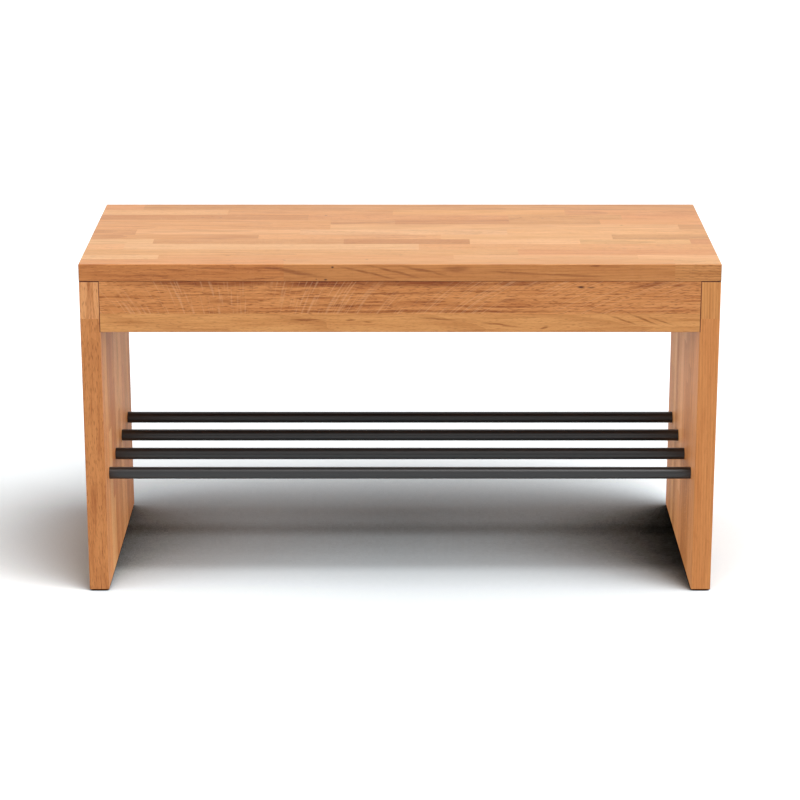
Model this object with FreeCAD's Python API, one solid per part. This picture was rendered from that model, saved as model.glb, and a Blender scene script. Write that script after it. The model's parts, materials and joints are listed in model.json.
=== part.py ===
import FreeCAD, Part
import math
import os

from FreeCAD import Matrix, Vector

# All sizes are in millimetres. The origin lies on the floor under the middle of the bench:
# X runs along the bench, the front looks along -Y and Z points up.

# The bench as a whole
bench_length = 830.0
bench_depth = 350.0
bench_height = 450.0

# Oak boards
seat_thickness = 23.0
side_thickness = 26.0
apron_thickness = 22.0
apron_height = 68.0
seat_edge_radius = 1.2
side_edge_radius = 1.5
foot_chamfer = 1.0
apron_edge_radius = 1.0
joint_ease = 0.7

# Shoe bars: steel tubes let into blind holes in the side panels
bar_names = ("front_shoe_bar", "front_middle_shoe_bar", "rear_middle_shoe_bar", "rear_shoe_bar")
bar_diameter = 16.0
bar_wall = 1.5
bar_height = 150.0
bar_setback = 50.0
bar_seat_depth = 10.0
bar_fit = 0.05
bar_end_play = 0.5

# Each end of an apron has one dowel, and one cam bolt below it
fitting_spacing = 32.0
dowel_radius = 4.0
dowel_fit = 0.05
dowel_end_play = 0.5
dowel_in_side = 12.0
dowel_in_apron = 28.0

# Cam bolts, screwed into the side panels and reaching into the ends of the aprons
bolt_thread_radius = 2.5
bolt_thread_length = 11.0
bolt_thread_fit = 0.05
bolt_end_play = 1.0
bolt_shank_radius = 3.4
bolt_shank_gap = 0.6
bolt_neck_radius = 1.7
bolt_head_radius = 2.75
bolt_head_length = 2.6

# Cam locks, turned from behind the aprons: a round hollow, off centre, draws the bolt's head in
cam_setback = 24.0
cam_eccentricity = 0.6
cam_head_offset = 0.4
cam_wall = 1.85
cam_floor = 1.2
cam_turn = 180.0
cam_running_gap = 0.1
cam_end_gap = 0.2
cam_head_gap = 0.3
cam_neck_gap = 0.3
cam_drive_span = 8.0
cam_drive_width = 1.6
cam_drive_depth = 2.5

# Felt glides, stuck under the side panels
glide_thickness = 2.0
glide_length = 60.0
glide_inset = 3.5
glide_end_distance = 15.0

# Places that follow from the sizes above
seat_bottom = bench_height - seat_thickness
apron_bottom = seat_bottom - apron_height
apron_inside = bench_depth / 2 - apron_thickness
inner_half_length = bench_length / 2 - side_thickness
dowel_height = apron_bottom + apron_height / 2 + fitting_spacing / 2
bolt_height = dowel_height - fitting_spacing
bar_pitch = (bench_depth - 2 * bar_setback) / (len(bar_names) - 1)

# The cam's hollow clears the bolt's head on the locked side, where its wall is thickest
head_reach = cam_head_offset + bolt_head_length
locked_radius = math.hypot(head_reach, bolt_head_radius) + cam_head_gap
hollow_radius = locked_radius + cam_eccentricity
hollow_half_height = bolt_head_radius + cam_head_gap
cam_radius = hollow_radius + cam_eccentricity + cam_wall
cam_bore_radius = cam_radius + cam_running_gap
cam_bore_depth = apron_thickness / 2 + hollow_half_height + cam_floor + cam_end_gap

along_x = Vector(1, 0, 0)
along_y = Vector(0, 1, 0)
along_z = Vector(0, 0, 1)


def edges_along(shape, axis):
    return [edge for edge in shape.Edges if edge.tangentAt(edge.FirstParameter).cross(axis).Length < 1e-6]


def rim(shape, height):
    spans = [(edge, edge.BoundBox) for edge in shape.Edges]
    return [edge for edge, box in spans if max(abs(box.ZMin - height), abs(box.ZMax - height)) < 1e-6]


def board_between(low, high):
    size = high - low
    return Part.makeBox(size.x, size.y, size.z, low)


def pin(radius, start, direction, length):
    return Part.makeCylinder(radius, length, start, direction)


def corners():
    for side_name, side in (("left", -1), ("right", 1)):
        for face_name, face in (("front", -1), ("rear", 1)):
            yield side_name + "_" + face_name, side, face


def joint_point(side, face, height):
    # A point on the face where an apron's end meets a side panel, at the middle of the apron's thickness
    return Vector(side * inner_half_length, face * (bench_depth / 2 - apron_thickness / 2), height)


def bar_places():
    first = -bench_depth / 2 + bar_setback
    return [(name, first + index * bar_pitch) for index, name in enumerate(bar_names)]


def drilled(board, holes):
    return board.cut(Part.makeCompound(holes)).Solids[0]


def make_seat():
    low = Vector(-bench_length / 2, -bench_depth / 2, seat_bottom)
    high = Vector(bench_length / 2, bench_depth / 2, bench_height)
    seat = board_between(low, high)
    seat = seat.makeChamfer(joint_ease, rim(seat, low.z))
    return seat.makeFillet(seat_edge_radius, edges_along(seat, along_z) + rim(seat, high.z))


def make_side(side):
    edges = sorted((side * inner_half_length, side * bench_length / 2))
    low = Vector(edges[0], -bench_depth / 2, glide_thickness)
    high = Vector(edges[1], bench_depth / 2, seat_bottom)
    panel = board_between(low, high)
    panel = panel.makeChamfer(foot_chamfer, rim(panel, low.z))
    panel = panel.makeChamfer(joint_ease, rim(panel, high.z))
    panel = panel.makeFillet(side_edge_radius, edges_along(panel, along_z))
    outward = along_x * side
    bolt_hole = (bolt_thread_radius + bolt_thread_fit, bolt_thread_length + bolt_end_play)
    dowel_hole = (dowel_radius + dowel_fit, dowel_in_side + dowel_end_play)
    holes = []
    for name, y in bar_places():
        mouth = Vector(side * inner_half_length, y, bar_height)
        holes.append(pin(bar_diameter / 2 + bar_fit, mouth, outward, bar_seat_depth))
    for face in (-1, 1):
        for height, (radius, depth) in ((bolt_height, bolt_hole), (dowel_height, dowel_hole)):
            holes.append(pin(radius, joint_point(side, face, height), outward, depth))
    return drilled(panel, holes)


def make_apron(face):
    edges = sorted((face * bench_depth / 2, face * apron_inside))
    low = Vector(-inner_half_length, edges[0], apron_bottom)
    high = Vector(inner_half_length, edges[1], seat_bottom)
    apron = board_between(low, high)
    lower_edges = [edge for edge in edges_along(apron, along_x) if edge.BoundBox.ZMax < seat_bottom]
    apron = apron.makeFillet(apron_edge_radius, lower_edges)
    bolt_hole = (bolt_shank_radius + bolt_shank_gap, cam_setback)
    dowel_hole = (dowel_radius + dowel_fit, dowel_in_apron + dowel_end_play)
    holes = []
    for side in (-1, 1):
        for height, (radius, depth) in ((bolt_height, bolt_hole), (dowel_height, dowel_hole)):
            holes.append(pin(radius, joint_point(side, face, height), along_x * -side, depth))
        holes.append(pin(cam_bore_radius, cam_place(side, face).Base, along_y * face, cam_bore_depth))
    return drilled(apron, holes)


def make_bar(y):
    half = inner_half_length + bar_seat_depth - bar_end_play
    start = Vector(-half, y, bar_height)
    outside = pin(bar_diameter / 2, start, along_x, 2 * half)
    return outside.cut(pin(bar_diameter / 2 - bar_wall, start, along_x, 2 * half))


def make_dowel(side, face):
    start = joint_point(side, face, dowel_height) + along_x * side * dowel_in_side
    return pin(dowel_radius, start, along_x * -side, dowel_in_side + dowel_in_apron)


def make_bolt(side, face):
    # Half of the bolt's section as (distance from the side panel's face, radius), turned about its axis
    neck_start = cam_setback - cam_radius - cam_head_gap
    head_start = cam_setback - head_reach
    head_end = cam_setback - cam_head_offset
    section = (
        (-bolt_thread_length, 0),
        (-bolt_thread_length, bolt_thread_radius),
        (0, bolt_thread_radius),
        (0, bolt_shank_radius),
        (neck_start, bolt_shank_radius),
        (neck_start, bolt_neck_radius),
        (head_start, bolt_neck_radius),
        (head_start, bolt_head_radius),
        (head_end, bolt_head_radius),
        (head_end, 0),
    )
    points = [Vector(radius, 0, distance) for distance, radius in section]
    shell = Part.Face(Part.makePolygon(points + points[:1])).revolve(Vector(), along_z, 360)
    bolt = Part.makeSolid(Part.Shell(shell.Faces))
    turn = FreeCAD.Rotation(along_z, along_x * -side)
    bolt.Placement = FreeCAD.Placement(joint_point(side, face, bolt_height), turn)
    return bolt


def cam_place(side, face):
    # Turns the cam so that its own Z points out of its bore and its own X towards the side panel
    matrix = Matrix(
        side, 0, 0, side * (inner_half_length - cam_setback),
        0, 0, -face, face * apron_inside,
        0, face * side, 0, bolt_height,
    )
    return FreeCAD.Placement(matrix)


def neck_slot():
    # A sector through the wall with a straight end, which the bolt's neck runs along as the cam turns
    half_width = bolt_neck_radius + cam_neck_gap
    outside = cam_radius + cam_wall
    sector = Part.makeCylinder(outside, 2 * half_width, Vector(0, 0, -half_width), along_z, cam_turn)
    sector.rotate(Vector(), along_z, -cam_turn)
    corner = Vector(0, -half_width, -half_width)
    return sector.fuse(Part.makeBox(outside, 2 * half_width, 2 * half_width, corner))


def head_entry():
    # The bolt's head passes straight in here when the cam is open
    outside = cam_radius + cam_wall
    corner = Vector(0, -hollow_half_height, -hollow_half_height)
    entry = Part.makeBox(outside, 2 * hollow_half_height, 2 * hollow_half_height, corner)
    entry.rotate(Vector(), along_z, -cam_turn)
    return entry


def make_cam(side, face):
    length = cam_bore_depth - 2 * cam_end_gap
    body = Part.makeCylinder(cam_radius, length, Vector(0, 0, -cam_end_gap - length))
    hollow_bottom = Vector(-cam_eccentricity, 0, -hollow_half_height)
    hollow = Part.makeCylinder(hollow_radius, 2 * hollow_half_height, hollow_bottom)
    cuts = [hollow, neck_slot(), head_entry()]
    for cut in cuts:
        cut.translate(Vector(0, 0, -apron_thickness / 2))
    for span, width in ((cam_drive_span, cam_drive_width), (cam_drive_width, cam_drive_span)):
        corner = Vector(-span / 2, -width / 2, -cam_end_gap - cam_drive_depth)
        cuts.append(Part.makeBox(span, width, cam_drive_depth + cam_end_gap, corner))
    cam = body.cut(cuts).removeSplitter().Solids[0]
    cam.Placement = cam_place(side, face)
    return cam


def make_glide(side, face):
    across = sorted((side * (inner_half_length + glide_inset), side * (bench_length / 2 - glide_inset)))
    end = bench_depth / 2 - glide_end_distance
    along = sorted((face * end, face * (end - glide_length)))
    return board_between(Vector(across[0], along[0], 0), Vector(across[1], along[1], glide_thickness))


def make_bench():
    pieces = {
        "seat_top": make_seat(),
        "left_side_panel": make_side(-1),
        "right_side_panel": make_side(1),
        "front_apron": make_apron(-1),
        "rear_apron": make_apron(1),
        "apron_end_dowels": Part.makeCompound([make_dowel(side, face) for name, side, face in corners()]),
        "cam_bolts": Part.makeCompound([make_bolt(side, face) for name, side, face in corners()]),
    }
    for name, y in bar_places():
        pieces[name] = make_bar(y)
    for name, side, face in corners():
        pieces[name + "_cam_lock"] = make_cam(side, face)
        pieces[name + "_felt_glide"] = make_glide(side, face)
    return pieces


os.makedirs("parts", exist_ok=True)
for name, shape in make_bench().items():
    shape.exportStep("parts/" + name + ".step")
    print(name, len(shape.Solids), "solids", round(shape.Volume, 1), "mm3, valid:", shape.isValid())
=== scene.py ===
import json
import math
import random

import bmesh
import bpy
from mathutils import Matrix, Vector

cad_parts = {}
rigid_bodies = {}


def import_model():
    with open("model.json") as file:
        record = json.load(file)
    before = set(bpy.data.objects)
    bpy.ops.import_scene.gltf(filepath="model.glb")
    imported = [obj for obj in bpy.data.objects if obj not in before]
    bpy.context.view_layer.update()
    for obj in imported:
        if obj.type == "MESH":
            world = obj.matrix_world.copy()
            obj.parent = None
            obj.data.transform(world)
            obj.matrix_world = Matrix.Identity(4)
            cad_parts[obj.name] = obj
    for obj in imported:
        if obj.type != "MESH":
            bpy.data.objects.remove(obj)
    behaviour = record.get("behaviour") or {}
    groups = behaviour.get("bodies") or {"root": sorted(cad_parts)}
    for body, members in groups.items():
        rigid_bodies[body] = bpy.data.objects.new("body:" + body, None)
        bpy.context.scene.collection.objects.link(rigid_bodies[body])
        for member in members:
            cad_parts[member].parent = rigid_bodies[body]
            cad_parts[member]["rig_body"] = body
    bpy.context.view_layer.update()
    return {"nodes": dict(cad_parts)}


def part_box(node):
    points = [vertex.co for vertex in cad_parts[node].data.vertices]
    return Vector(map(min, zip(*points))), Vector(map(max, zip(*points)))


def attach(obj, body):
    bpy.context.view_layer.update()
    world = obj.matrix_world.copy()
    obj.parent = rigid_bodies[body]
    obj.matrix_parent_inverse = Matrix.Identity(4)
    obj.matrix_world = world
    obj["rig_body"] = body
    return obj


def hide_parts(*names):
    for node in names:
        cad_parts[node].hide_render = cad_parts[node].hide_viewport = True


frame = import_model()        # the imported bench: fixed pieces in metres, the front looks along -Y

scene = bpy.context.scene
scene.view_settings.view_transform = "Standard"
mm = 0.001
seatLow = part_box("seat_top")[0]
apronLow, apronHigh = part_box("front_apron")
print("frame loaded:", len(frame["nodes"]), "nodes")


def linear(hexColour):
    channels = [int(hexColour[i:i + 2], 16) / 255 for i in (1, 3, 5)]
    return [c / 12.92 if c <= 0.04045 else ((c + 0.055) / 1.055) ** 2.4 for c in channels] + [1.0]


def addNode(material, kind, inputs=None, **settings):
    node = material.node_tree.nodes.new("ShaderNode" + kind)
    for name, value in settings.items():
        setattr(node, name, value)
    for socket, value in (inputs or {}).items():
        if isinstance(value, bpy.types.NodeSocket):
            material.node_tree.links.new(value, node.inputs[socket])
        else:
            node.inputs[socket].default_value = value
    return node


def newMaterial(name):
    material = bpy.data.materials.new(name)
    material.use_nodes = True
    return material, material.node_tree.nodes["Principled BSDF"]


def feed(material, node, socket, output):
    material.node_tree.links.new(output, node.inputs[socket])


weld = 0.001 * mm       # corners nearer than this are one


def packedMesh(node, flat):
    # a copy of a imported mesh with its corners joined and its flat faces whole, flat in degrees
    mesh = bmesh.new()
    mesh.from_mesh(frame["nodes"][node].data)
    bmesh.ops.remove_doubles(mesh, verts=mesh.verts, dist=weld)
    bmesh.ops.dissolve_limit(mesh, angle_limit=math.radians(flat), verts=mesh.verts, edges=mesh.edges)
    return mesh


def smoothData(mesh, name, sharp):
    # edges that turn more than sharp, in degrees, stay sharp
    data = bpy.data.meshes.new(name)
    mesh.to_mesh(data)
    mesh.free()
    data.shade_smooth()
    data.set_sharp_from_angle(angle=math.radians(sharp))
    return data


def newPiece(name, mesh, node, material):
    piece = bpy.data.objects.new(name, mesh)
    scene.collection.objects.link(piece)
    mesh.materials.clear()
    mesh.materials.append(material)
    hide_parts(node)
    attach(piece, frame["nodes"][node]["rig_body"])
    return piece


# Oiled oak, planed and sanded: warm staves of uneven tone, straight fibres, open pores and pale ray flecks.
oak = {
    "tones": {
        "pale": "#F0B87E", "straw": "#EBB173", "honey": "#E7A868", "rosy": "#E3A061",
        "tan": "#DB9A5C", "brown": "#D4904F", "dark": "#CC8746",
    },
    "ringTint": "#D4C0A9", "poreTint": "#AC8A69", "streakTint": "#C9A57E", "cloudTint": "#E4D2BC",
    "fibreTint": "#DCCAB3", "markTint": "#A57A40", "knotTint": "#50301E", "endTint": "#CEB89E",
    # the joint tint is a painted shade for the grooves between parts
    "jointShadeTint": "#6E3F22", "rayColour": "#F2BD8C",
    # pale and dark of a ring, how far it wanders and how a knot bends it
    "ringWidth": 3.6 * mm, "ringRise": (0.4, 0.95), "ringWarp": 6 * mm, "ringWander": (5.0, 28.0, 28.0),
    "taper": 0.02, "knotBend": 3 * mm,
    # noise pulled along the grain: width, length, detail, where it starts to show and where it is full
    "grain": {
        "cloud": (8 * mm, 190 * mm, 2.0, 0.35, 0.72),
        "streak": (3.2 * mm, 75 * mm, 2.0, 0.5, 0.75),
        "fibre": (1.3 * mm, 45 * mm, 3.0, 0.4, 0.75),       # real fibres are finer: drawn wider to show
        "pore": (1.0 * mm, 9 * mm, 1.0, 0.55, 0.68),        # real pores are 0.3 mm wide: drawn wider to show
    },
    "grainRoughness": 0.6, "strengths": {"cloud": 0.5, "fibre": 0.4}, "sheenFibres": (0.3, 0.7),
    "rayWide": 2.2 * mm, "rayLong": 30 * mm, "rayRise": (0.55, 0.73), "rayLean": 4.7,
    "rayCluster": 70 * mm, "clusterRise": (0.3, 0.52),
    "markWave": 22 * mm, "markShift": 5 * mm, "markCore": 0.2, "markBreak": (0.35, 0.6, 0.6, 1.0),
    "ior": 1.48, "bump": 0.12, "bumpHeight": 0.25 * mm,
}


def markMasks(material, marks):
    # listed marks: round ones are knots, long ones are dark streaks with a wavy edge
    here = addNode(material, "TexCoord").outputs["Object"]
    waveSize = {"Vector": here, "Scale": 1 / oak["markWave"], "Detail": 2.0}
    wave = addNode(material, "TexNoise", waveSize).outputs["Color"]
    wave = addNode(material, "VectorMath", {0: wave, 1: (0.5, 0.5, 0.5)}, operation="SUBTRACT").outputs[0]
    wavy = addNode(material, "VectorMath", {0: wave, 1: [oak["markShift"]] * 3, 2: here},
                   operation="MULTIPLY_ADD").outputs[0]
    masks = {}
    for mark in marks:
        kind = mark["kind"]
        spotPlace = {"Vector": here if kind == "knot" else wavy, "Location": mark["at"],
                     "Rotation": mark["turn"], "Scale": mark["size"]}
        local = addNode(material, "Mapping", spotPlace, vector_type="TEXTURE").outputs[0]
        far = addNode(material, "VectorMath", {0: local}, operation="LENGTH").outputs["Value"]
        spot = addNode(material, "MapRange", {0: far, 1: oak["markCore"], 2: 1.0, 3: mark["depth"], 4: 0.0},
                       interpolation_type="SMOOTHSTEP").outputs[0]
        if kind in masks:
            spot = addNode(material, "Math", {0: masks[kind], 1: spot}, operation="MAXIMUM").outputs[0]
        masks[kind] = spot
    return masks


def growthRings(material, place, knots):
    # distance from the middle of the tree, bent a little along the stave and round the knots
    along, across, through = addNode(material, "SeparateXYZ", {0: place}).outputs
    wander = addNode(material, "VectorMath", {0: place, 1: oak["ringWander"]},
                     operation="MULTIPLY").outputs[0]
    wanderNoise = addNode(material, "TexNoise", {"Vector": wander, "Scale": 1.0, "Detail": 2.0}).outputs[0]
    section = addNode(material, "CombineXYZ", {1: across, 2: through}).outputs[0]
    radius = addNode(material, "VectorMath", {0: section}, operation="LENGTH").outputs["Value"]
    bends = [(wanderNoise, oak["ringWarp"]), (along, oak["taper"])]
    if knots is not None:
        bends.append((knots, oak["knotBend"]))
    for amount, reach in bends:
        radius = addNode(material, "Math", {0: amount, 1: reach, 2: radius},
                         operation="MULTIPLY_ADD").outputs[0]
    rings = addNode(material, "Math", {0: radius, 1: 1 / oak["ringWidth"]}, operation="MULTIPLY").outputs[0]
    ringSaw = addNode(material, "Math", {0: rings}, operation="FRACT").outputs[0]
    ringStart, ringFull = oak["ringRise"]
    return addNode(material, "MapRange", {0: ringSaw, 1: ringStart, 2: ringFull, 3: 0.0, 4: 1.0},
                   interpolation_type="SMOOTHSTEP").outputs[0]


def pulledGrain(material, place):
    # noise pulled out along the grain, bare and as masks
    pulled = {}
    masks = {}
    for label, (wide, long, detail, start, full) in oak["grain"].items():
        scale = (1 / long, 1 / wide, 1 / wide)
        stretched = addNode(material, "VectorMath", {0: place, 1: scale}, operation="MULTIPLY").outputs[0]
        noise = {"Vector": stretched, "Scale": 1.0, "Detail": detail, "Roughness": oak["grainRoughness"]}
        pulled[label] = addNode(material, "TexNoise", noise).outputs[0]
        masks[label] = addNode(material, "MapRange", {0: pulled[label], 1: start, 2: full}).outputs[0]
    return pulled, masks


def rayFlecks(material, place, rays):
    # pale strokes across the grain in clusters, that lean more away from the middle of the board
    along, across, through = addNode(material, "SeparateXYZ", {0: place}).outputs
    rayAmount, leanCentre, staveMiddle = addNode(material, "SeparateXYZ", {0: rays}).outputs
    lean = addNode(material, "Math", {0: along, 1: leanCentre}, operation="SUBTRACT").outputs[0]
    fromMiddle = addNode(material, "Math", {0: across, 1: staveMiddle}, operation="SUBTRACT").outputs[0]
    lean = addNode(material, "Math", {0: lean, 1: fromMiddle}, operation="MULTIPLY").outputs[0]
    slid = addNode(material, "Math", {0: lean, 1: -oak["rayLean"], 2: along},
                   operation="MULTIPLY_ADD").outputs[0]
    ray = addNode(material, "CombineXYZ", {0: slid, 1: across, 2: through}).outputs[0]
    rayScale = (1 / oak["rayWide"], 1 / oak["rayLong"], 1 / oak["rayLong"])
    stroke = addNode(material, "VectorMath", {0: ray, 1: rayScale}, operation="MULTIPLY").outputs[0]
    strokeNoise = addNode(material, "TexNoise", {"Vector": stroke, "Scale": 1.0, "Detail": 0.0}).outputs[0]
    clusterNoise = addNode(material, "TexNoise", {"Vector": place, "Scale": 1 / oak["rayCluster"],
                                                  "Detail": 0.0}).outputs[0]
    mask = rayAmount
    for noise, (start, full) in ((strokeNoise, oak["rayRise"]), (clusterNoise, oak["clusterRise"])):
        rise = addNode(material, "MapRange", {0: noise, 1: start, 2: full}).outputs[0]
        mask = addNode(material, "Math", {0: mask, 1: rise}, operation="MULTIPLY").outputs[0]
    return mask


def oiledOak(name, marks, roughness):
    material, shader = newMaterial(name)
    # the stave's tone, with a painted shade on its long edges
    colour = addNode(material, "Attribute", attribute_name="staveColourEdgeShade").outputs["Color"]
    place, rays, figure, edges = [addNode(material, "Attribute", attribute_name=label).outputs["Vector"]
                                  for label in ("grainPos", "staveRays", "staveFigure", "staveEndsJointShade")]
    ringAmount, poreAmount, streakAmount = addNode(material, "SeparateXYZ", {0: figure}).outputs
    pulled, masks = pulledGrain(material, place)
    masks.update(markMasks(material, marks))
    masks["ring"] = growthRings(material, place, masks.get("knot"))
    # the ends of the grain, and the painted shade in the joint grooves
    masks["end"], masks["jointShade"] = addNode(material, "SeparateXYZ", {0: edges}).outputs[:2]
    weights = {"ring": ringAmount, "pore": poreAmount, "streak": streakAmount}
    if "mark" in masks:
        # marks follow the fibres: they are broken up where these are pale
        breakUp = dict(zip((1, 2, 3, 4), oak["markBreak"]))
        weights["mark"] = addNode(material, "MapRange", {0: pulled["fibre"], **breakUp}).outputs[0]
    for label, weight in weights.items():
        masks[label] = addNode(material, "Math", {0: masks[label], 1: weight},
                               operation="MULTIPLY").outputs[0]

    for label in ("cloud", "fibre", "streak", "ring", "mark", "pore", "end"):
        if label in masks:
            factor = addNode(material, "Math", {0: masks[label], 1: oak["strengths"].get(label, 1.0)},
                             operation="MULTIPLY").outputs[0]
            colour = addNode(material, "Mix", {0: factor, 6: colour, 7: linear(oak[label + "Tint"])},
                             data_type="RGBA", blend_type="MULTIPLY").outputs[2]
    rayMask = rayFlecks(material, place, rays)
    colour = addNode(material, "Mix", {0: rayMask, 6: colour, 7: linear(oak["rayColour"])},
                     data_type="RGBA").outputs[2]
    # knots darken the wood, and the joint grooves get a painted shade
    for label in ("knot", "jointShade"):
        if label in masks:
            colour = addNode(material, "Mix", {0: masks[label], 6: colour, 7: linear(oak[label + "Tint"])},
                             data_type="RGBA", blend_type="MULTIPLY").outputs[2]
    feed(material, shader, "Base Color", colour)

    smooth, rough = roughness
    paleFibre, darkFibre = oak["sheenFibres"]
    sheen = addNode(material, "MapRange", {0: pulled["fibre"], 1: paleFibre, 2: darkFibre, 3: smooth,
                                           4: rough}).outputs[0]
    feed(material, shader, "Roughness", sheen)
    shader.inputs["IOR"].default_value = oak["ior"]
    relief = addNode(material, "Math", {0: masks["pore"], 1: pulled["fibre"]},
                     operation="SUBTRACT").outputs[0]
    depth = {"Height": relief, "Strength": oak["bump"], "Distance": oak["bumpHeight"]}
    bump = addNode(material, "Bump", depth, invert=True).outputs[0]
    feed(material, shader, "Normal", bump)
    return material


# Each board has its axes along, across and through the grain. A row of staves is its width in mm and the
# staves in it, as (tone, where it ends in mm from the row's start), then any amounts of its own. Rows go from
# the low corner up. Knots and marks are x, y, z in mm from that corner, half length, half width, how dark,
# and turn in degrees.
seatBoard = {
    "node": "seat_top", "axes": (0, 1, 2), "seed": 11, "roughness": (0.36, 0.5),
    # the long front and back edges get a painted shade, darker than the top
    "paintedEdgeShade": (0.80, 0.69, 0.57), "edgeFigure": 1.7,
    "rays": 0.08, "rings": (0.05, 0.4), "pores": (0.1, 0.4), "streaks": (0.1, 0.5),
    "rows": [
        (27, [("rosy", 265), ("honey", 770), ("straw", 830)]),
        (23, [("pale", 100), ("honey", 485), ("straw", 725), ("pale", 830)]),
        (30, [("honey", 570), ("rosy", 830)]),
        (31, [("straw", 50), ("pale", 440), ("honey", 830)]),
        (27, [("pale", 86), ("tan", 340), ("dark", 508), ("pale", 655), ("straw", 802), ("tan", 830)]),
        (27, [("tan", 225), ("honey", 470), ("straw", 700), ("tan", 830)]),
        (30, [("tan", 58), ("straw", 280), ("pale", 560), ("straw", 830)]),
        (30, [("rosy", 320), ("straw", 795), ("tan", 830)]),
        (29, [("rosy", 320), ("tan", 408), ("brown", 565), ("tan", 690), ("rosy", 830)]),
        (30, [("brown", 288), ("rosy", 565), ("tan", 722), ("rosy", 830)]),
        (30, [("straw", 175), ("rosy", 405), ("honey", 645), ("rosy", 830)]),
        (36, [("rosy", 55), ("brown", 290), ("tan", 830)]),
    ],
    "knots": [
        (328, 0, 19, 2.6, 1.8, 0.95, 0), (319, 0, 2.5, 3.2, 1.6, 0.9, 0), (307, 0, 3, 1.6, 1.2, 0.6, 0),
        (265, 22, 23, 3.0, 1.6, 0.6, 0), (372, 25, 23, 3.0, 1.6, 0.5, 0), (190, 47, 23, 6.0, 1.6, 0.4, 0),
        (416, 50, 23, 4.0, 1.6, 0.4, 0), (718, 220, 23, 3.0, 1.8, 0.5, 0), (582, 267, 23, 3.0, 1.8, 0.4, 0),
        (612, 262, 23, 3.0, 1.8, 0.4, 0), (312, 280, 23, 3.0, 2.0, 0.7, 0), (142, 268, 23, 3.0, 1.8, 0.4, 0),
        (155, 272, 23, 2.6, 1.6, 0.4, 0), (167, 266, 23, 3.0, 1.8, 0.4, 0),
    ],
    "marks": [
        (275, 0, 13, 60, 4.0, 0.7, 10), (372, 0, 12, 50, 2.4, 0.8, 14), (408, 0, 13, 48, 2.4, 0.75, 14),
        (446, 0, 14, 44, 2.8, 0.7, 12), (487, 0, 17, 24, 6.0, 0.55, 0), (667, 0, 21, 14, 1.2, 0.9, 0),
        (170, 0, 18, 60, 2.0, 0.5, 3), (240, 0, 4, 40, 2.0, 0.6, -3), (560, 0, 12, 50, 2.0, 0.5, 4),
        (640, 0, 8, 60, 2.4, 0.45, 3), (90, 0, 9, 50, 2.0, 0.45, 6),
    ],
}
frontApron = {
    "node": "front_apron", "axes": (0, 2, 1), "seed": 23, "roughness": (0.55, 0.7),
    "rays": 0.28, "leanCentre": 183, "rings": (0.2, 0.3), "pores": (0.65, 0.75), "streaks": (0.7, 0.8),
    "shade": (0.92, 0.82, 0.73),
    "rows": [
        (25, [("straw", 778)],
         {"quarter": False, "rays": 0.1, "rings": (0.35, 0.4), "pores": (0.35, 0.45), "streaks": (0.5, 0.6)}),
        (43, [("honey", 778)]),
    ],
    "knots": [(623, 0, 60.5, 6.5, 2.2, 1.0, 0), (636, 0, 60, 8.0, 1.4, 0.7, 0)],
    "marks": [
        # the first marks run as a dark band along the apron's top, just under the seat
        (150, 0, 67, 150, 9.0, 1.0, 0), (300, 0, 67, 150, 9.5, 1.0, 0), (430, 0, 66, 130, 8.0, 1.0, 0),
        (540, 0, 66, 60, 5.5, 0.9, 0), (712, 0, 63, 34, 4.6, 1.0, -7), (749, 0, 63, 12, 3.0, 0.9, 0),
        (250, 0, 56, 90, 1.8, 0.7, 0), (380, 0, 52, 110, 2.0, 0.7, 0), (150, 0, 50, 80, 2.0, 0.6, 0),
        (480, 0, 55, 80, 1.8, 0.7, 0), (330, 0, 36, 100, 2.4, 0.7, 0), (520, 0, 34, 90, 2.2, 0.7, 0),
        (280, 0, 46, 40, 2.2, 0.7, 0), (353, 0, 41, 28, 1.8, 0.7, 0), (172, 0, 41, 50, 2.6, 0.6, 0),
        (420, 0, 41, 36, 3.0, 0.6, 0), (533, 0, 43, 24, 2.6, 0.6, 0), (585, 0, 39, 44, 1.6, 0.7, 0),
        (95, 0, 60, 40, 2.0, 0.6, 4), (660, 0, 52, 50, 1.6, 0.6, 2), (390, 0, 28, 400, 2.4, 0.75, 0),
        (267, 0, 17, 30, 2.2, 0.85, 0), (325, 0, 17, 9, 1.8, 0.9, 0), (346, 0, 13.5, 9, 1.7, 0.85, 0),
        (521, 0, 10, 34, 2.0, 0.75, 8), (576, 0, 6, 7, 2.0, 0.75, -20), (680, 0, 16, 28, 1.8, 0.75, 20),
        (706, 0, 17, 28, 1.8, 0.75, 22), (728, 0, 15, 24, 1.7, 0.65, 20), (440, 0, 18, 40, 1.8, 0.6, 4),
    ],
}
rearApron = {
    "node": "rear_apron", "axes": (0, 2, 1), "seed": 31, "roughness": (0.55, 0.7),
    "rays": 0.3, "rings": (0.3, 0.6), "pores": (0.5, 0.7), "streaks": (0.5, 0.7),
    "shade": (0.96, 0.88, 0.80),
    "rows": [(43, [("honey", 778)]), (25, [("straw", 778)])], "knots": [], "marks": [],
}
leftPanel = {
    "node": "left_side_panel", "axes": (2, 1, 0), "seed": 47, "roughness": (0.55, 0.7),
    "rays": 0.15, "rings": (0.2, 0.6), "pores": (0.3, 0.7), "streaks": (0.3, 0.7),
    # the front and back edges get a painted shade
    "shade": (1.0, 0.95, 0.9), "paintedEdgeShade": (0.95, 0.91, 0.89),
    "rows": [(30, [("tan", 375), ("pale", 425)], {"rays": 0, "pores": (0.5, 0.6), "streaks": (0.8, 0.9)})],
    "knots": [], "marks": [],
}
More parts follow.
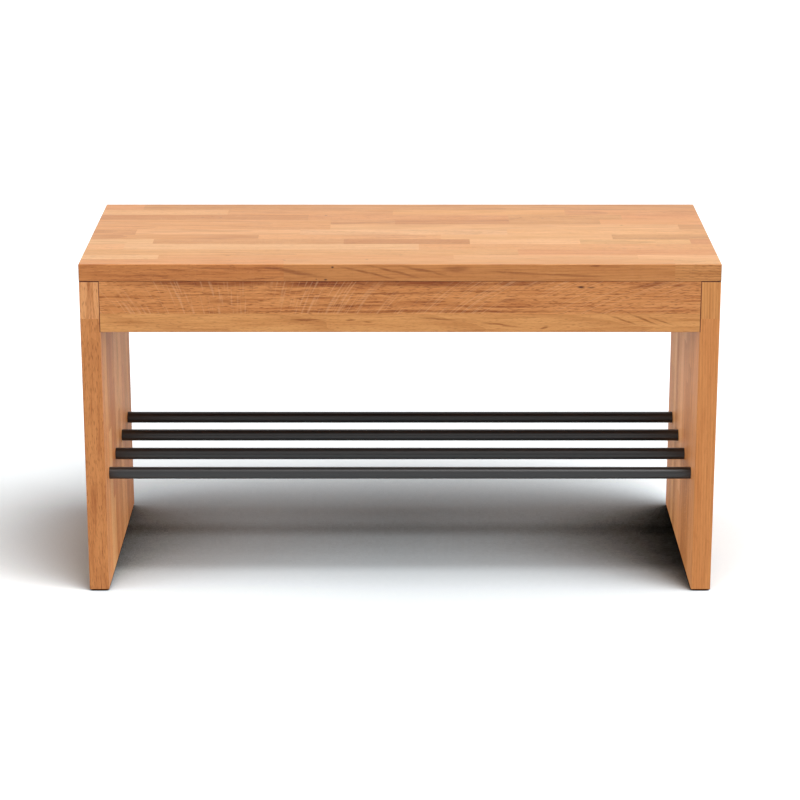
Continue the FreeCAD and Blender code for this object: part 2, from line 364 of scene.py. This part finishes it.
rightPanel = {
    "node": "right_side_panel", "axes": (2, 1, 0), "seed": 59, "roughness": (0.55, 0.7),
    "rays": 0.15, "rings": (0.2, 0.5), "pores": (0.2, 0.5), "streaks": (0.2, 0.6),
    # the front and back edges get a painted shade
    "shade": (1.0, 0.95, 0.9), "paintedEdgeShade": (0.94, 0.89, 0.86),
    "rows": [(30, [("rosy", 375), ("honey", 425)], {"rays": 0, "pores": (0.15, 0.2), "streaks": (0.3, 0.4)})],
    "knots": [], "marks": [],
}
# Staves that no row lists, in mm
staveSizes = {"wide": (26, 34), "widest": 40, "long": (140, 420), "leastLong": 70, "firstEnd": 60}
# How a stave was sawn: the chance that it is quarter-sawn, how far from it the middle of its tree lies in mm,
# how far its pattern slides in metres, so that no two are alike, and how far its tone and rays stray
sawing = {
    "quarterChance": 0.4, "heartFar": (45, 110), "heartAside": (-14, 14), "slide": (1, 9),
    "toneSpread": (0.97, 1.03), "raySpread": (0.7, 1.0), "flatRays": 0.3, "leanCentre": (0, 400),
}
# What the materials read at each corner of a face
staveLayers = {
    "grainPos": "float_vector", "staveColourEdgeShade": "float_color", "staveRays": "float_vector",
    "staveFigure": "float_vector", "staveEndsJointShade": "float_vector",
}
# A face whose normal leans past edgeTurn along or across the grain is an end or an edge. One that leans less
# than slant along every axis is an eased edge, which looks into a joint where it leans past jointTurn towards
# it, no further than jointReach from the apron's end, and gets a painted shade there
boardFaces = {
    "edgeTurn": 0.6, "slant": 0.97, "jointTurn": 0.3, "jointReach": 3 * mm, "flat": 0.5, "sharp": 35,
}
cutSlack = 0.01 * mm        # how far past a cut the middle of a face may lie


def fillRows(rows, width, length, chance):
    # rows that the board doesn't list yet, of uneven staves
    done = sum(row[0] for row in rows)
    while width - done > 1:
        wide = chance.uniform(*staveSizes["wide"])
        rest = width - done
        if rest - wide < staveSizes["wide"][0]:
            wide = rest if rest < staveSizes["widest"] else rest / 2
        staves = []
        end = chance.uniform(staveSizes["firstEnd"], staveSizes["long"][1])
        while end < length - staveSizes["leastLong"]:
            staves.append((chance.choice(list(oak["tones"])), end))
            end += chance.uniform(*staveSizes["long"])
        staves.append((chance.choice(list(oak["tones"])), length))
        rows = rows + [(wide, staves)]
        done += wide
    return rows


def cutAt(mesh, faces, axis, place):
    edges = {edge for face in faces for edge in face.edges}
    points = {vert for face in faces for vert in face.verts}
    middle = Vector((0, 0, 0))
    middle[axis] = place
    normal = Vector((0, 0, 0))
    normal[axis] = 1
    bmesh.ops.bisect_plane(mesh, geom=list(faces) + list(edges) + list(points), plane_co=middle,
                           plane_no=normal)


def facesBetween(mesh, axis, start, end):
    return [face for face in mesh.faces
            if start - cutSlack < face.calc_center_median()[axis] < end + cutSlack]


def facesShadedJoint(face, node):
    # eased edges that look into a joint, painted with shade: under the seat, beside the apron's ends
    middle = face.calc_center_median()
    normal = face.normal
    turn = boardFaces["jointTurn"]
    slanted = max(abs(normal.x), abs(normal.y), abs(normal.z)) < boardFaces["slant"]
    if node == "seat_top":
        return slanted and normal.z < -turn
    if node.endswith("side_panel"):
        near = abs(middle.x) < apronHigh.x + boardFaces["jointReach"]
        beside = middle.z > apronLow.z and near and abs(normal.x) > turn
        return slanted and (normal.z > turn or beside)
    return False


def sawnStave(board, amounts, tone, rowMiddle, chance):
    along, across, through = board["axes"]
    low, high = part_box(board["node"])
    quarter = chance.random() < sawing["quarterChance"] or "leanCentre" in board
    quarter = amounts.get("quarter", quarter)
    # where the middle of the tree lies
    heart = [rowMiddle, (low[through] + high[through]) / 2]
    heart[0 if quarter else 1] += chance.choice((-1, 1)) * chance.uniform(*sawing["heartFar"]) * mm
    heart[1 if quarter else 0] += chance.uniform(*sawing["heartAside"]) * mm
    slide = chance.uniform(*sawing["slide"])
    tint = zip(linear(oak["tones"][tone]), board.get("shade", (1, 1, 1)))
    colour = [c * k * chance.uniform(*sawing["toneSpread"]) for c, k in tint]
    rays = amounts["rays"] * chance.uniform(*sawing["raySpread"])
    rays *= 1.0 if quarter else sawing["flatRays"]
    leanCentre = chance.uniform(*sawing["leanCentre"])
    leanCentre = board.get("leanCentre", leanCentre) * mm + low[along] + slide
    figure = [chance.uniform(*amounts[label]) for label in ("rings", "pores", "streaks")]
    return {"heart": heart, "slide": slide, "colour": colour, "rays": rays, "leanCentre": leanCentre,
            "middle": rowMiddle - heart[0], "figure": figure}


def paintFace(face, board, stave, layers):
    along, across, through = board["axes"]
    heart = stave["heart"]
    endGrain = 1.0 if abs(face.normal[along]) > boardFaces["edgeTurn"] else 0.0
    # eased faces that look into a joint get a painted shade
    paintedJointShade = 1.0 if facesShadedJoint(face, board["node"]) else 0.0
    # edges across the grain get a painted shade, darker than the faces
    onEdge = abs(face.normal[across]) > boardFaces["edgeTurn"]
    paintedEdgeShade = board.get("paintedEdgeShade", (1, 1, 1)) if onEdge else (1, 1, 1)
    edgeFigure = board.get("edgeFigure", 1) if onEdge else 1
    for loop in face.loops:
        point = loop.vert.co
        loop[layers["grainPos"]] = (point[along] + stave["slide"], point[across] - heart[0],
                                    point[through] - heart[1])
        loop[layers["staveColourEdgeShade"]] = [c * k for c, k in zip(stave["colour"], paintedEdgeShade)] + [1]
        loop[layers["staveRays"]] = (stave["rays"] * (1 - endGrain), stave["leanCentre"], stave["middle"])
        loop[layers["staveFigure"]] = [amount * edgeFigure for amount in stave["figure"]]
        loop[layers["staveEndsJointShade"]] = (endGrain, paintedJointShade, 0)


def boardMarks(board):
    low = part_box(board["node"])[0]
    marks = []
    for kind in ("knot", "mark"):
        for x, y, z, halfLong, halfWide, depth, turn in board[kind + "s"]:
            reach = [halfWide * mm] * 3
            reach[board["axes"][0]] = halfLong * mm
            marks.append({"kind": kind, "at": low + Vector((x, y, z)) * mm, "size": reach, "depth": depth,
                          "turn": (0, math.radians(turn), 0)})
    return marks


def stavedBoard(board, materialName):
    node = board["node"]
    along, across, through = board["axes"]
    low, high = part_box(node)
    chance = random.Random(board["seed"])
    mesh = packedMesh(node, boardFaces["flat"])
    layers = {label: getattr(mesh.loops.layers, kind).new(label) for label, kind in staveLayers.items()}
    size = [(top - bottom) / mm for bottom, top in zip(low, high)]
    rows = fillRows(board["rows"], size[across], size[along], chance)

    if node.endswith("side_panel"):
        cutAt(mesh, mesh.faces[:], along, apronLow.z)
    rowStart = low[across]
    for wide, staves, *own in rows:
        amounts = {**board, **(own[0] if own else {})}
        rowEnd = rowStart + wide * mm
        cutAt(mesh, mesh.faces[:], across, rowEnd)
        rowFaces = facesBetween(mesh, across, rowStart, rowEnd)
        for tone, end in staves[:-1]:
            cutAt(mesh, rowFaces, along, low[along] + end * mm)
            rowFaces = facesBetween(mesh, across, rowStart, rowEnd)
        staveStart = low[along] - mm
        for tone, end in staves:
            staveEnd = low[along] + end * mm + cutSlack
            stave = sawnStave(board, amounts, tone, (rowStart + rowEnd) / 2, chance)
            for face in rowFaces:
                if staveStart < face.calc_center_median()[along] < staveEnd:
                    paintFace(face, board, stave, layers)
            staveStart = staveEnd
        rowStart = rowEnd

    data = smoothData(mesh, node + "_staves", boardFaces["sharp"])
    marks = boardMarks(board)
    piece = newPiece(node + "_board", data, node, oiledOak(materialName, marks, board["roughness"]))
    soften = piece.modifiers.new("evenShading", "WEIGHTED_NORMAL")
    soften.keep_sharp = True
    print("board:", node, len(rows), "rows,", len(data.polygons), "faces")
    return piece


stavedBoard(seatBoard, "oiledOakSeat")
stavedBoard(frontApron, "oiledOakFrontApron")
stavedBoard(rearApron, "oiledOakRearApron")
stavedBoard(leftPanel, "oiledOakLeftPanel")
stavedBoard(rightPanel, "oiledOakRightPanel")


# Powder coat on steel tube: near black, satin, with a faint orange peel in the shine.
powderCoat = {
    "colour": "#202021", "speck": "#2A2A2B", "roughness": (0.25, 0.38), "shine": 0.5,
    "peel": 0.9 * mm, "peelHeight": 0.04 * mm, "bump": 0.2,
}
barShape = {"sides": 72, "wall": 1.5 * mm, "sharp": 40}


def blackPowderCoat():
    material, shader = newMaterial("blackPowderCoat")
    here = addNode(material, "TexCoord").outputs["Object"]
    grain = {"Vector": here, "Scale": 1 / powderCoat["peel"], "Detail": 2.0}
    peel = addNode(material, "TexNoise", grain).outputs[0]
    tones = {6: linear(powderCoat["colour"]), 7: linear(powderCoat["speck"])}
    colour = addNode(material, "Mix", {0: peel, **tones}, data_type="RGBA").outputs[2]
    feed(material, shader, "Base Color", colour)
    smooth, rough = powderCoat["roughness"]
    shine = addNode(material, "MapRange", {0: peel, 3: smooth, 4: rough}).outputs[0]
    feed(material, shader, "Roughness", shine)
    shader.inputs["Specular IOR Level"].default_value = powderCoat["shine"]
    depth = {"Height": peel, "Strength": powderCoat["bump"], "Distance": powderCoat["peelHeight"]}
    bump = addNode(material, "Bump", depth).outputs[0]
    feed(material, shader, "Normal", bump)
    return material


def shoeBar(node, material):
    low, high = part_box(node)
    outside = (high.z - low.z) / 2
    middle = (low + high) / 2
    mesh = bmesh.new()
    inside = outside - barShape["wall"]
    turn = 2 * math.pi / barShape["sides"]
    rings = []
    for x, radius in ((low.x, outside), (high.x, outside), (high.x, inside), (low.x, inside)):
        points = [(x, middle.y + radius * math.cos(i * turn), middle.z + radius * math.sin(i * turn))
                  for i in range(barShape["sides"])]
        rings.append([mesh.verts.new(point) for point in points])
    for ring, following in zip(rings, rings[1:] + rings[:1]):
        for i in range(barShape["sides"]):
            j = (i + 1) % barShape["sides"]
            mesh.faces.new((ring[i], ring[j], following[j], following[i]))
    bmesh.ops.recalc_face_normals(mesh, faces=mesh.faces)
    data = smoothData(mesh, node + "_tube", barShape["sharp"])
    return newPiece(node + "_tube", data, node, material)


coat = blackPowderCoat()
barNames = ("front_shoe_bar", "front_middle_shoe_bar", "rear_middle_shoe_bar", "rear_shoe_bar")
for barName in barNames:
    shoeBar(barName, coat)
print("shoe bars:", len(barNames))


# Die-cast zinc: grey metal, dull and faintly mottled from the mould.
castZinc = {"colour": "#B4B7BA", "mottle": "#8D9094", "roughness": 0.42, "grain": 0.8 * mm, "metal": 1.0,
            "stretch": (1, 1, 1)}
# Bright zinc plate on turned steel: paler, smoother, with fine turning lines.
zincPlate = {"colour": "#C9CCCE", "mottle": "#A9ADB2", "roughness": 0.28, "grain": 0.5 * mm, "metal": 1.0,
             "stretch": (6, 1, 1)}
# Beech dowel, sanded: pale and even with short dark flecks.
beech = {"colour": "#D9B48A", "mottle": "#B98E60", "roughness": 0.6, "grain": 1.2 * mm, "metal": 0.0,
         "stretch": (0.1, 1, 1)}
# Pressed wool felt: dark, matt and fuzzy.
felt = {"colour": "#4E463F", "mottle": "#2F2A26", "roughness": 0.95, "grain": 0.9 * mm, "metal": 0.0,
        "stretch": (1, 1, 1)}
mottling = {"detail": 3.0, "roughSpread": 0.05, "bump": 0.25, "bumpHeight": 0.1 * mm}
glideEdge = {"radius": 0.6 * mm, "steps": 3, "flat": 1, "sharp": 180}


def mottled(name, look):
    material, shader = newMaterial(name)
    here = addNode(material, "TexCoord").outputs["Object"]
    pulled = addNode(material, "VectorMath", {0: here, 1: look["stretch"]}, operation="MULTIPLY").outputs[0]
    grain = addNode(material, "TexNoise", {"Vector": pulled, "Scale": 1 / look["grain"],
                                           "Detail": mottling["detail"]}).outputs[0]
    colour = addNode(material, "Mix", {0: grain, 6: linear(look["colour"]), 7: linear(look["mottle"])},
                     data_type="RGBA").outputs[2]
    feed(material, shader, "Base Color", colour)
    spread = mottling["roughSpread"]
    rough = addNode(material, "MapRange", {0: grain, 3: look["roughness"] - spread,
                                           4: look["roughness"] + spread}).outputs[0]
    feed(material, shader, "Roughness", rough)
    shader.inputs["Metallic"].default_value = look["metal"]
    depth = {"Height": grain, "Strength": mottling["bump"], "Distance": mottling["bumpHeight"]}
    bump = addNode(material, "Bump", depth).outputs[0]
    feed(material, shader, "Normal", bump)
    return material


def finishNode(node, material):
    frame["nodes"][node].material_slots[0].material = material


def feltGlide(node, material):
    mesh = packedMesh(node, glideEdge["flat"])
    bmesh.ops.bevel(mesh, geom=mesh.edges[:], offset=glideEdge["radius"], segments=glideEdge["steps"],
                    affect="EDGES", profile=0.5)
    data = smoothData(mesh, node + "_strip", glideEdge["sharp"])
    return newPiece(node + "_strip", data, node, material)


zinc = mottled("dieCastZinc", castZinc)
feltMaterial = mottled("woolFelt", felt)
finishNode("cam_bolts", mottled("zincPlatedSteel", zincPlate))
finishNode("apron_end_dowels", mottled("beechDowel", beech))
for corner in ("left_front", "left_rear", "right_front", "right_rear"):
    finishNode(corner + "_cam_lock", zinc)
    feltGlide(corner + "_felt_glide", feltMaterial)
print("fittings and felt glides dressed")


# Studio: a pale floor, a broad soft light from above on the right, four low soft fills, and white all round
studio = {
    "floorHalf": 15.0, "floorWhite": "#F6FBFD", "floorGain": 1.26, "floorBounce": 0.32,
    "shadeReach": 0.6, "shadeTilt": (0.12, -0.36, 0.93), "shadeRays": 32,
    # how open the floor is to the sky, and the painted shade there
    "shadeSteps": [(0.30, "#060808"), (0.36, "#4A5153"), (0.40, "#7E8689"), (0.44, "#9EA6AA"),
                   (0.53, "#C4CBCF"), (0.65, "#D8DDE0"), (0.88, "#FFFFFF")],
    "lamps": {
        "softKey": {"from": (0.36, -0.30, 0.88), "strength": 2.65, "angle": 44},
        "leftFill": {"from": (-0.88, -0.44, 0.12), "strength": 1.85, "angle": 30},
        "rightFill": {"from": (0.88, -0.44, 0.12), "strength": 1.50, "angle": 30},
        "leftBackFill": {"from": (-0.85, 0.50, 0.10), "strength": 0.8, "angle": 30},
        "rightBackFill": {"from": (0.85, 0.50, 0.10), "strength": 0.8, "angle": 30},
    },
    "skyFront": 0.04, "skyBack": 0.26, "skyTurn": 0.7,
}


def seenRays(material):
    # rays that show the white set: the camera's own, and those that a shine or a clear piece sends on
    rays = addNode(material, "LightPath").outputs
    seen = rays["Is Camera Ray"]
    for kind in ("Is Glossy Ray", "Is Transmission Ray"):
        seen = addNode(material, "Math", {0: seen, 1: rays[kind]}, operation="MAXIMUM").outputs[0]
    return seen


def floorPaint():
    # white where it is seen, with a painted shade deepest in the crannies by the feet, and greyer for the
    # light it throws back
    material = bpy.data.materials.new("palePaperFloor")
    material.use_nodes = True
    material.node_tree.nodes.clear()
    seen = seenRays(material)
    tilt = addNode(material, "CombineXYZ", dict(enumerate(studio["shadeTilt"]))).outputs[0]
    openness = addNode(material, "AmbientOcclusion", {"Distance": studio["shadeReach"], "Normal": tilt},
                       samples=studio["shadeRays"])
    shade = addNode(material, "ValToRGB", {0: openness.outputs["AO"]})
    steps = shade.color_ramp.elements
    while len(steps) < len(studio["shadeSteps"]):
        steps.new(1.0)
    for step, (place, tint) in zip(steps, studio["shadeSteps"]):
        step.position = place
        step.color = linear(tint)
    fullWhite = [channel * studio["floorGain"] for channel in linear(studio["floorWhite"])]
    white = addNode(material, "Mix", {0: 1.0, 6: shade.outputs[0], 7: fullWhite}, data_type="RGBA",
                    blend_type="MULTIPLY").outputs[2]
    shown = addNode(material, "BsdfDiffuse", {"Color": white}).outputs[0]
    thrown = addNode(material, "BsdfDiffuse", {"Color": [studio["floorBounce"]] * 3 + [1]}).outputs[0]
    paper = addNode(material, "MixShader", {0: seen, 1: thrown, 2: shown}).outputs[0]
    addNode(material, "OutputMaterial", {"Surface": paper})
    return material


half = studio["floorHalf"]
floorMesh = bpy.data.meshes.new("studioFloor")
floorCorners = [(-half, -half, 0), (half, -half, 0), (half, half, 0), (-half, half, 0)]
floorMesh.from_pydata(floorCorners, [], [(0, 1, 2, 3)])
floorMesh.materials.append(floorPaint())
floor = bpy.data.objects.new("studioFloor", floorMesh)
scene.collection.objects.link(floor)

for lampName, lampLook in studio["lamps"].items():
    lamp = bpy.data.lights.new(lampName, "SUN")
    lamp.energy = lampLook["strength"]
    lamp.angle = math.radians(lampLook["angle"])
    lampStand = bpy.data.objects.new(lampName, lamp)
    lampStand.rotation_euler = Vector(lampLook["from"]).to_track_quat("Z", "Y").to_euler()
    scene.collection.objects.link(lampStand)

world = bpy.data.worlds.new("studioWhite")
world.use_nodes = True
scene.world = world
background = world.node_tree.nodes["Background"]
background.inputs["Color"].default_value = (1, 1, 1, 1)
# the white backdrop behind the bench lights it more than the room in front
direction = addNode(world, "TexCoord").outputs["Generated"]
towardsBack = addNode(world, "SeparateXYZ", {0: direction}).outputs[1]
glow = addNode(world, "MapRange", {0: towardsBack, 1: -studio["skyTurn"], 2: studio["skyTurn"],
                                   3: studio["skyFront"], 4: studio["skyBack"]}).outputs[0]
level = addNode(world, "Mix", {0: seenRays(world), 2: glow, 3: 1.0}).outputs[0]
feed(world, background, "Strength", level)
print("studio lit")


# View camera: in front of the bench, looking down on the seat, with no lens shift. Its distance from the
# seat's front edge and its height are in metres, its tilt in degrees
viewCamera = {"distance": 3.308, "height": 1.276, "tiltDown": 16.96, "focalPixels": 2643,
              "framePixels": 800, "sensor": 36.0}
camera = bpy.data.cameras.new("viewCamera")
camera.sensor_width = viewCamera["sensor"]
camera.lens = viewCamera["sensor"] * viewCamera["focalPixels"] / viewCamera["framePixels"]
eye = bpy.data.objects.new("viewCamera", camera)
eye.location = (0, seatLow.y - viewCamera["distance"], viewCamera["height"])
eye.rotation_euler = (math.radians(90 - viewCamera["tiltDown"]), 0, 0)
scene.collection.objects.link(eye)
scene.camera = eye
print("camera set, lens", round(camera.lens, 1), "mm")
